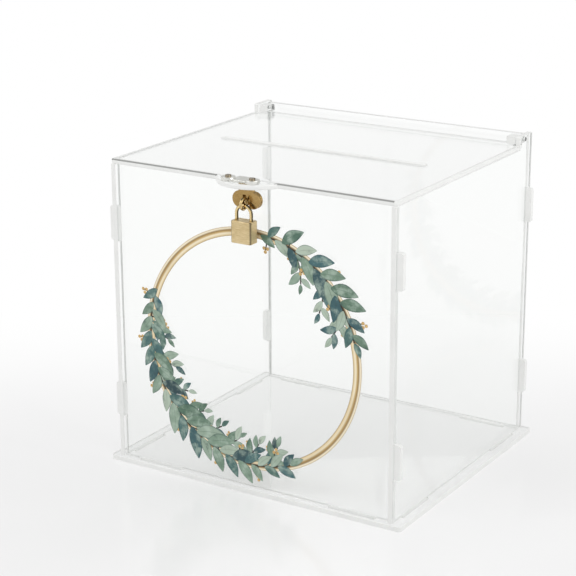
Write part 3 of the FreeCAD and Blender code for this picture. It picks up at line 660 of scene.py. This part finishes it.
# %% Ink of the hoop
HOOP_BAND = 7.0 * MM
BRIGHT_BAR = [
    (0.0, (0.36, 0.25, 0.11)), (0.12, (0.74, 0.59, 0.34)), (0.32, (0.93, 0.84, 0.63)),
    (0.50, (0.58, 0.40, 0.16)), (0.66, (0.30, 0.18, 0.055)), (0.86, (0.95, 0.87, 0.67)),
    (1.0, (0.52, 0.38, 0.20)),
]
DARK_BAR = [
    (0.0, (0.30, 0.20, 0.08)), (0.14, (0.82, 0.67, 0.42)), (0.32, (0.50, 0.33, 0.12)),
    (0.48, (0.085, 0.045, 0.01)), (0.64, (0.17, 0.10, 0.025)), (0.84, (0.94, 0.85, 0.64)),
    (1.0, (0.44, 0.31, 0.15)),
]
DRIFT_STRETCH = (14, 0, 14)
DRIFT_LOW, DRIFT_HIGH = 0.38, 0.60
GRAIN_SCALE = 900.0
HOOP_ROUGHNESS = (0.34, 0.46)

hoop_low, hoop_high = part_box("hoop_decal")
hoop_centre = (hoop_low + hoop_high) / 2
hoop_outer = (hoop_high.x - hoop_low.x) / 2

finish = Finish("hoop_ink")
from_middle = finish.add("VectorMath", {"operation": "LENGTH"})
finish.join(finish.place((1, 0, 1), hoop_centre), from_middle.inputs[0])
from_inside = finish.math("SUBTRACT", from_middle.outputs["Value"], hoop_outer - HOOP_BAND)
across = finish.math("DIVIDE", from_inside, HOOP_BAND)
slow_noise = finish.noise(finish.place(DRIFT_STRETCH), 1.0, detail=1.0)
drift = finish.span(slow_noise, DRIFT_LOW, DRIFT_HIGH)
bars = finish.mix(drift, finish.ramp(across, BRIGHT_BAR), finish.ramp(across, DARK_BAR))
finish.drive("Base Color", bars)
grain = finish.noise(finish.place(), GRAIN_SCALE, detail=2.0)
finish.drive("Roughness", finish.span(grain, NOISE_LOW, NOISE_HIGH, *HOOP_ROUGHNESS))
wear("hoop_decal", finish.material)
print("hoop radius in mm:", round(hoop_outer / MM, 1), "height of its middle:", round(hoop_centre.z / MM, 1))

# %% [markdown]
# ## Ink of the leaves
# The leaves are printed like watercolour: each leaf has its own green, with pale blooms where the wash
# pooled, dark stains, a dark rim where it dried, and a fine midrib. Every leaf carries its own tone and its
# own map, so the rim and the midrib follow its outline.

# %% Leaf ink
LEAF_WASH = [
    (0.0, (0.015, 0.050, 0.060)), (0.22, (0.045, 0.130, 0.145)), (0.45, (0.085, 0.165, 0.110)),
    (0.70, (0.220, 0.320, 0.240)), (1.0, (0.460, 0.540, 0.440)),
]
BLOOM_SCALE = 105.0
BLOOM_COLOUR = (0.45, 0.56, 0.47)
STAIN_COLOUR = (0.016, 0.045, 0.050)
RIM_COLOUR = (0.018, 0.055, 0.055)
RIB_COLOUR = (0.03, 0.06, 0.05)
# Each span: the range that is read, and the shares of the colour mixed in at its two ends.
BLOOM_SPAN = (0.44, 0.66, 0.0, 0.62)
STAIN_SPAN = (0.44, 0.26, 0.0, 0.75)
RIM_SPAN = (0.36, 0.5, 0.0, 0.55)
RIB_SPAN = (0.035, 0.0, 0.0, 0.5)
LEAF_ROUGHNESS = (0.42, 0.60)
MAP_MIDDLE = 0.5

finish = Finish("leaf_ink")
leaf_tone = finish.add("Attribute", {"attribute_name": "tone"}).outputs["Fac"]
leaf_map = finish.add("UVMap", {"uv_map": "leaf_map"}).outputs["UV"]
blooms = finish.noise(finish.place((1, 0, 1)), BLOOM_SCALE, detail=5.0, roughness=0.62)
off_rib = finish.math("ABSOLUTE", finish.math("SUBTRACT", finish.axes(leaf_map)["Y"], MAP_MIDDLE))
wash = finish.ramp(leaf_tone, LEAF_WASH)
pooled = finish.mix(finish.span(blooms, *BLOOM_SPAN), wash, BLOOM_COLOUR)
stained = finish.mix(finish.span(blooms, *STAIN_SPAN), pooled, STAIN_COLOUR)
rimmed = finish.mix(finish.span(off_rib, *RIM_SPAN), stained, RIM_COLOUR)
ribbed = finish.mix(finish.span(off_rib, *RIB_SPAN), rimmed, RIB_COLOUR)
finish.drive("Base Color", ribbed)
finish.drive("Roughness", finish.span(blooms, NOISE_LOW, NOISE_HIGH, *LEAF_ROUGHNESS))
leaf_ink = finish.material
print("nodes in the leaf ink:", len(finish.tree.nodes))

# %% [markdown]
# ## Inks of the stems and berries
# Stems are nearly black brown and berries gold. Both inks dry in small spots, so one recipe with two colours
# serves for both.

# %% Stem and berry inks
SPOTS_LOW, SPOTS_HIGH = 0.35, 0.65
SPOT_ROUGHNESS = (0.42, 0.58)


def spotted_ink(name, dark, light, scale):
    """Ink between two colours in small spots."""
    made = Finish(name)
    spots = made.noise(made.place((1, 0, 1)), scale, detail=3.0)
    made.drive("Base Color", made.ramp(spots, [(SPOTS_LOW, dark), (SPOTS_HIGH, light)]))
    made.drive("Roughness", made.span(spots, NOISE_LOW, NOISE_HIGH, *SPOT_ROUGHNESS))
    return made.material


stem_ink = spotted_ink("stem_ink", (0.012, 0.010, 0.007), (0.050, 0.040, 0.026), 400.0)
berry_ink = spotted_ink("berry_ink", (0.42, 0.25, 0.07), (0.72, 0.50, 0.22), 500.0)
SPRAY_INKS = [leaf_ink, stem_ink, berry_ink]
print("inks:", [material.name for material in SPRAY_INKS])

# %% [markdown]
# ## One leaf, one stalk and one cluster of berries
# A leaf is a pointed blade with a slight bend, one unit long, drawn flat. It could be cut from a picture, but
# a few stations along its rib give a clean outline at any size. A stalk is a straight strip, and three round
# berries make a cluster. All are closed solids of a hair's thickness, so they are real meshes from any side.

# %% Closed flat solid
INK_SHARE = 0.001
SAME_POINT = 1e-7


def flat_solid(name, rows, maps):
    """Closed thin solid over rows of points, each row from one rim to the other."""
    shape = bmesh.new()
    uv = shape.loops.layers.uv.new("leaf_map")
    sides = []
    for height in (INK_SHARE, -INK_SHARE):
        sides.append([[shape.verts.new((x, y, height)) for x, y in row] for row in rows])
    chart = {}
    for side in sides:
        for row, row_maps in zip(side, maps):
            chart.update(zip(row, row_maps))
    front, back = sides
    steps = range(len(rows[0]) - 1)
    for row in range(len(rows) - 1):
        near, far = front[row], front[row + 1]
        under_near, under_far = back[row], back[row + 1]
        for left in steps:
            shape.faces.new((near[left], far[left], far[left + 1], near[left + 1]))
            shape.faces.new((under_near[left], under_near[left + 1], under_far[left + 1], under_far[left]))
        for rim in (0, -1):
            shape.faces.new((near[rim], under_near[rim], under_far[rim], far[rim]))
    for end in (0, -1):
        for left in steps:
            shape.faces.new((front[end][left], front[end][left + 1], back[end][left + 1], back[end][left]))
    bmesh.ops.remove_doubles(shape, verts=shape.verts, dist=SAME_POINT)
    for face in shape.faces:
        for loop in face.loops:
            loop[uv].uv = chart.get(loop.vert, (MAP_MIDDLE, MAP_MIDDLE))
    bmesh.ops.recalc_face_normals(shape, faces=shape.faces)
    mesh = bpy.data.meshes.new(name)
    shape.to_mesh(mesh)
    shape.free()
    return bpy.data.objects.new(name, mesh)


print("a print's thickness as a share of its leaf's length:", 2 * INK_SHARE)

# %% [markdown]
# ## Their outlines
# The leaf's half width swells and shrinks along its rib as a sine does, pulled a little towards the stem end,
# where real leaves are broadest. Points that are drawn by a rule are easier to change than points drawn by
# hand.

# %% Leaf, stalk and berries
LEAF_STATIONS = 9
LEAF_START = 0.02
LEAF_RUN = 0.96
LEAF_HALF_WIDTH = 0.215
LEAF_PULL = 0.85
LEAF_FULLNESS = 0.9
LEAF_BEND = 0.05
STALK_HALF_WIDTH = 0.045
BERRY_SIDES = 14
BERRY_DEPTH = 0.02
BERRY_SPOTS = [(0.0, 0.0), (2.2, 0.5), (0.7, 2.1)]


def leaf_shape(name):
    """Pointed blade along X."""
    rows, maps = [], []
    for station in range(LEAF_STATIONS):
        along = LEAF_START + LEAF_RUN * station / (LEAF_STATIONS - 1)
        half = LEAF_HALF_WIDTH * math.sin(math.pi * along ** LEAF_PULL) ** LEAF_FULLNESS
        middle = LEAF_BEND * math.sin(math.pi * along)
        rows.append([(along, middle - half), (along, middle), (along, middle + half)])
        maps.append([(along, 0.0), (along, MAP_MIDDLE), (along, 1.0)])
    return flat_solid(name, rows, maps)


def stalk_shape(name):
    """Straight strip along X."""
    ends = (0.0, 1.0)
    rows = [[(along, -STALK_HALF_WIDTH), (along, 0.0), (along, STALK_HALF_WIDTH)] for along in ends]
    maps = [[(along, MAP_MIDDLE)] * 3 for along in ends]
    return flat_solid(name, rows, maps)


def berry_cluster(name):
    """Three flat discs side by side."""
    shape = bmesh.new()
    for x, y in BERRY_SPOTS:
        bmesh.ops.create_cone(shape, cap_ends=True, segments=BERRY_SIDES, radius1=1.0, radius2=1.0,
                              depth=BERRY_DEPTH, matrix=Matrix.Translation((x, y, 0)))
    mesh = bpy.data.meshes.new(name)
    shape.to_mesh(mesh)
    shape.free()
    return bpy.data.objects.new(name, mesh)


leaf = leaf_shape("printed_leaf")
stalk = stalk_shape("printed_stalk")
berry = berry_cluster("printed_berry")
print("faces:", {shape.name: len(shape.data.polygons) for shape in (leaf, stalk, berry)})

# %% [markdown]
# ## A tree that grows a spray
# Placing each leaf by hand would take all day and never look even. Instead a Geometry Nodes tree walks along
# any stem and dresses it. Its sizes, its seed and its inks are named inputs, so one tree serves every stem.
# Short helpers add its nodes, as they did for the finishes.

# %% Inputs and helpers of the tree
tree = bpy.data.node_groups.new("leaves_on_stem", "GeometryNodeTree")
tree.interface.new_socket("Geometry", in_out="OUTPUT", socket_type="NodeSocketGeometry")
TREE_INPUTS = [
    ("Geometry", "Geometry"), ("Leaf", "Object"), ("Berry", "Object"), ("Stalk", "Object"),
    ("Leaf Count", "Int"), ("Longest Leaf", "Float"), ("Shortest Share", "Float"), ("Splay", "Float"),
    ("Stem Width", "Float"), ("Berry Radius", "Float"), ("Berry Reach", "Float"), ("Layer Step", "Float"),
    ("Seed", "Int"), ("Leaf Ink", "Material"), ("Stem Ink", "Material"), ("Berry Ink", "Material"),
]
sockets = {}
for name, kind in TREE_INPUTS:
    socket = tree.interface.new_socket(name, in_out="INPUT", socket_type="NodeSocket" + kind)
    sockets[name] = socket.identifier
given = tree.nodes.new("NodeGroupInput").outputs
result = tree.nodes.new("NodeGroupOutput")
RANDOM_LOW, RANDOM_HIGH, RANDOM_NUMBER = 2, 3, 1


def wire(value, target):
    """Link a socket to an input, or set a plain value on it."""
    if isinstance(value, bpy.types.NodeSocket):
        tree.links.new(value, target)
    else:
        target.default_value = value


def grow(kind, settings=None, **inputs):
    """New node of the tree; an input is a socket or a plain value."""
    node = tree.nodes.new(kind)
    for name, value in (settings or {}).items():
        setattr(node, name, value)
    for name, value in inputs.items():
        wire(value, node.inputs[name.replace("_", " ")])
    return node


def reckon(operation, first, second=0.0):
    """Arithmetic on two sockets or numbers."""
    node = grow("ShaderNodeMath", {"operation": operation})
    wire(first, node.inputs[0])
    wire(second, node.inputs[1])
    return node.outputs[0]


def vector(x=0.0, y=0.0, z=0.0):
    """Vector of three sockets or numbers."""
    return grow("ShaderNodeCombineXYZ", X=x, Y=y, Z=z).outputs["Vector"]


def random_between(low, high, seed):
    """A number for every point, the same at each run."""
    node = grow("FunctionNodeRandomValue", {"data_type": "FLOAT"}, Seed=seed)
    node.inputs[RANDOM_LOW].default_value = low
    node.inputs[RANDOM_HIGH].default_value = high
    return node.outputs[RANDOM_NUMBER]


def turned_to(angle):
    """Rotation in the flat plane."""
    return grow("FunctionNodeEulerToRotation", Euler=vector(z=angle)).outputs["Rotation"]


def stamp(name):
    """The shape that an input names, ready to be set on points."""
    return grow("GeometryNodeObjectInfo", Object=given[name], As_Instance=True).outputs["Geometry"]


def inked(geometry, ink):
    """Real mesh of what was set on points, in one ink."""
    real = grow("GeometryNodeRealizeInstances", Geometry=geometry).outputs["Geometry"]
    return grow("GeometryNodeSetMaterial", Geometry=real, Material=given[ink]).outputs["Geometry"]


print("inputs of the tree:", list(sockets))

# %% [markdown]
# ## Leaves
# Leaves sit to the left and right of a stem in turn, and one at its tip points straight on. They lean
# forwards, are longest in the middle, and differ a little in heading, length and tone. Each lies a hair above
# the last, as ink is laid.

# %% Leaves along the stem
HEADING_DRIFT = 0.24
TRIM_LOW, TRIM_HIGH = 0.74, 1.04
TRIM_SEED_STEP = 3.0
TONE_SEED_STEP = 7.0

path = grow("GeometryNodeMeshToCurve", Mesh=given["Geometry"]).outputs["Curve"]
spots = grow("GeometryNodeCurveToPoints", {"mode": "COUNT"}, Curve=path, Count=given["Leaf Count"])
tangent = grow("ShaderNodeSeparateXYZ", Vector=spots.outputs["Tangent"]).outputs
index = grow("GeometryNodeInputIndex").outputs["Index"]
last_index = reckon("SUBTRACT", given["Leaf Count"], 1.0)
share = reckon("DIVIDE", index, last_index)
is_tip = reckon("COMPARE", index, last_index)
in_turn = reckon("SUBTRACT", reckon("MULTIPLY", reckon("MODULO", index, 2.0), 2.0), 1.0)
side = reckon("MULTIPLY", in_turn, reckon("SUBTRACT", 1.0, is_tip))

along = reckon("ARCTAN2", tangent["Y"], tangent["X"])
jitter = random_between(-HEADING_DRIFT, HEADING_DRIFT, given["Seed"])
leaning = reckon("ADD", along, reckon("MULTIPLY", side, given["Splay"]))
heading = turned_to(reckon("ADD", leaning, jitter))

swell = reckon("SINE", reckon("MULTIPLY", share, math.pi))
room = reckon("SUBTRACT", 1.0, given["Shortest Share"])
size = reckon("ADD", given["Shortest Share"], reckon("MULTIPLY", room, swell))
trim = random_between(TRIM_LOW, TRIM_HIGH, reckon("ADD", given["Seed"], TRIM_SEED_STEP))
length = reckon("MULTIPLY", reckon("MULTIPLY", given["Longest Leaf"], size), trim)

lift = vector(z=reckon("MULTIPLY", index, given["Layer Step"]))
raised = grow("GeometryNodeSetPosition", Geometry=spots.outputs["Points"], Offset=lift).outputs["Geometry"]
leaves = grow("GeometryNodeInstanceOnPoints", Points=raised, Instance=stamp("Leaf"), Rotation=heading,
              Scale=vector(length, length, given["Longest Leaf"])).outputs["Instances"]
leaf_tones = random_between(0.0, 1.0, reckon("ADD", given["Seed"], TONE_SEED_STEP))
toned = grow("GeometryNodeStoreNamedAttribute", {"data_type": "FLOAT", "domain": "INSTANCE"},
             Geometry=leaves, Name="tone", Value=leaf_tones).outputs["Geometry"]
leaf_layer = inked(toned, "Leaf Ink")
print("nodes so far:", len(tree.nodes))

# %% [markdown]
# ## Berries, stalks and the stem
# At every third leaf a stalk leaves the stem on the leaf's other side and carries a cluster of berries. The
# stem is a flat strip swept along the path. The four layers are joined and realized, because the print has
# to be one plain mesh.

# %% Berries, stalks and stem
BERRY_EVERY = 3.0
BERRY_FIRST = 1.0
STEM_FLATNESS = 0.02

picked = reckon("COMPARE", reckon("MODULO", index, BERRY_EVERY), BERRY_FIRST)
across_way = reckon("MULTIPLY", side, reckon("MULTIPLY", given["Berry Reach"], -1.0))
aside = vector(reckon("MULTIPLY", reckon("MULTIPLY", tangent["Y"], -1.0), across_way),
               reckon("MULTIPLY", tangent["X"], across_way))
berry_spots = grow("GeometryNodeSetPosition", Geometry=raised, Offset=aside).outputs["Geometry"]
berries = grow("GeometryNodeInstanceOnPoints", Points=berry_spots, Selection=picked, Instance=stamp("Berry"),
               Rotation=heading, Scale=given["Berry Radius"]).outputs["Instances"]
berry_layer = inked(berries, "Berry Ink")

stalk_way = turned_to(reckon("SUBTRACT", along, reckon("MULTIPLY", side, math.pi / 2)))
stalks = grow("GeometryNodeInstanceOnPoints", Points=raised, Selection=picked, Instance=stamp("Stalk"),
              Rotation=stalk_way, Scale=given["Berry Reach"]).outputs["Instances"]
stalk_layer = inked(stalks, "Stem Ink")

upright = grow("GeometryNodeSetCurveNormal", {"mode": "Z_UP"}, Curve=path).outputs["Curve"]
strip = grow("GeometryNodeCurvePrimitiveQuadrilateral", Width=given["Stem Width"],
             Height=reckon("MULTIPLY", given["Stem Width"], STEM_FLATNESS)).outputs["Curve"]
stem = grow("GeometryNodeCurveToMesh", Curve=upright, Profile_Curve=strip, Fill_Caps=True).outputs["Mesh"]
stem_layer = inked(stem, "Stem Ink")

gathered = grow("GeometryNodeJoinGeometry")
for layer in (stem_layer, stalk_layer, leaf_layer, berry_layer):
    tree.links.new(layer, gathered.inputs["Geometry"])
realized = grow("GeometryNodeRealizeInstances", Geometry=gathered.outputs["Geometry"]).outputs["Geometry"]
tree.links.new(realized, result.inputs["Geometry"])
print("nodes in the tree:", len(tree.nodes))

# %% [markdown]
# ## Stems
# Each spray has a main stem that lies on the hoop, and twigs that lean off it towards the middle. The stems
# could be drawn by hand, but the hoop's radius gives the main stem, and one bent line gives every twig.
# They are lines in a flat plane, and the tree dresses each of them.

# %% Lines of the stems
HOOP_RADIUS = hoop_outer - HOOP_BAND / 2
STEM_POINTS = 40
TWIG_STEPS = 6
TWIG_LEAN = math.radians(50)
KNEE_FORWARD = 0.75
KNEE_INWARD = 0.25
KNEE_REACH = 0.5


def arc_points(first, last):
    """Points on the hoop between two angles in degrees."""
    shares = [step / (STEM_POINTS - 1) for step in range(STEM_POINTS)]
    angles = [math.radians(first + (last - first) * portion) for portion in shares]
    return [Vector((HOOP_RADIUS * math.cos(a), HOOP_RADIUS * math.sin(a), 0)) for a in angles]


def twig_points(angle, way, reach):
    """Curved twig from the hoop, leaning inwards and forwards."""
    radial = Vector((math.cos(angle), math.sin(angle), 0))
    forward = Vector((-radial.y, radial.x, 0)) * way
    start = radial * HOOP_RADIUS
    end = start + (forward * math.cos(TWIG_LEAN) - radial * math.sin(TWIG_LEAN)) * reach
    knee = start + (forward * KNEE_FORWARD - radial * KNEE_INWARD) * reach * KNEE_REACH
    steps = [step / TWIG_STEPS for step in range(TWIG_STEPS + 1)]
    return [start * (1 - t) ** 2 + knee * 2 * t * (1 - t) + end * t * t for t in steps]


print("radius of the main stems in mm:", round(HOOP_RADIUS / MM, 1))

# %% [markdown]
# ## The two sprays
# A spray's twigs are dressed first and its main stem over them, as they would be painted. The results are
# gathered into one mesh, which is stood up on the front panel where the hoop is printed.

# %% Dress the stems and print the sprays
LARGE_SPRAY = (158, 292)
SMALL_SPRAY = (84, 14)
LARGE_SEED = 11
SMALL_SEED = 53
MAIN_SPLAY = math.radians(38)
LEAF_SPACING = 5.8 * MM
LONGEST_LEAF = 27 * MM
SHORTEST_SHARE = 0.62
STEM_WIDTH = 1.2 * MM
STEM_LAYER = 0.06 * MM
STEM_BERRY = 1.4 * MM
BERRY_REACH = 0.44
LAYER_STEP = 0.003 * MM
TWIG_REACH = 30 * MM
TWIG_SPACING = 24 * MM
TWIG_LEAVES = 7
TWIG_LEAF = 0.62 * LONGEST_LEAF
TWIG_LAYER = 0.02 * MM
TWIG_BERRY = 1.1 * MM
END_TWIG_SHARE = 0.6


def dress_stem(points, layer, count, longest, berry_radius, seed):
    """Mesh of one stem with its leaves and berries, drawn flat at a height above the panel."""
    mesh = bpy.data.meshes.new("stem_line")
    links = [(number, number + 1) for number in range(len(points) - 1)]
    mesh.from_pydata([point + Vector((0, 0, layer)) for point in points], links, [])
    host = bpy.data.objects.new("stem_line", mesh)
    scene.collection.objects.link(host)
    growing = host.modifiers.new("grow", "NODES")
    growing.node_group = tree
    values = {
        "Leaf": leaf, "Berry": berry, "Stalk": stalk, "Leaf Count": count, "Longest Leaf": longest,
        "Shortest Share": SHORTEST_SHARE, "Splay": MAIN_SPLAY, "Stem Width": STEM_WIDTH,
        "Berry Radius": berry_radius, "Berry Reach": BERRY_REACH * longest, "Layer Step": LAYER_STEP,
        "Seed": seed, "Leaf Ink": leaf_ink, "Stem Ink": stem_ink, "Berry Ink": berry_ink,
    }
    for name, value in values.items():
        growing[sockets[name]] = value
    made = bpy.data.meshes.new_from_object(host.evaluated_get(bpy.context.evaluated_depsgraph_get()))
    bpy.data.objects.remove(host)
    return made


def dressed_stems(first, last, seed):
    """Meshes of a spray: its twigs first, then the main stem over them."""
    way = math.copysign(1, last - first)
    run = math.radians(abs(last - first)) * HOOP_RADIUS
    layers = []
    twigs = int(run / TWIG_SPACING)
    for number in range(1, twigs):
        portion = number / twigs
        angle = math.radians(first + (last - first) * portion)
        swelling = END_TWIG_SHARE + (1 - END_TWIG_SHARE) * math.sin(math.pi * portion)
        twig = twig_points(angle, way, TWIG_REACH * swelling)
        layers.append(dress_stem(twig, TWIG_LAYER, TWIG_LEAVES, TWIG_LEAF, TWIG_BERRY, seed + number))
    leaf_count = int(run / LEAF_SPACING)
    layers.append(dress_stem(arc_points(first, last), STEM_LAYER, leaf_count, LONGEST_LEAF, STEM_BERRY, seed))
    return layers


def print_spray(name, node, first, last, seed):
    """One spray as a single mesh that stands on the front panel."""
    shape = bmesh.new()
    for layer in dressed_stems(first, last, seed):
        order = [SPRAY_INKS.index(material) if material else None for material in layer.materials]
        start = len(shape.faces)
        shape.from_mesh(layer)
        shape.faces.ensure_lookup_table()
        for face in shape.faces[start:]:
            face.material_index = order[face.material_index]
    stand = Matrix.Translation((0, hoop_low.y, hoop_centre.z)) @ Matrix.Rotation(math.pi / 2, 4, "X")
    shape.transform(stand)
    spray = finished_piece(name, shape, SPRAY_INKS, "box", node)
    heights = [vertex.co.z / MM for vertex in spray.data.vertices]
    reach = [round(min(heights), 2), round(max(heights), 2)]
    print(name, "faces:", len(spray.data.polygons), "lowest and highest point in mm:", reach)


print_spray("printed_spray_large", "leaf_spray_large", *LARGE_SPRAY, LARGE_SEED)
print_spray("printed_spray_small", "leaf_spray_small", *SMALL_SPRAY, SMALL_SEED)

# %% [markdown]
# The dressed box has to stay inside the measured one.
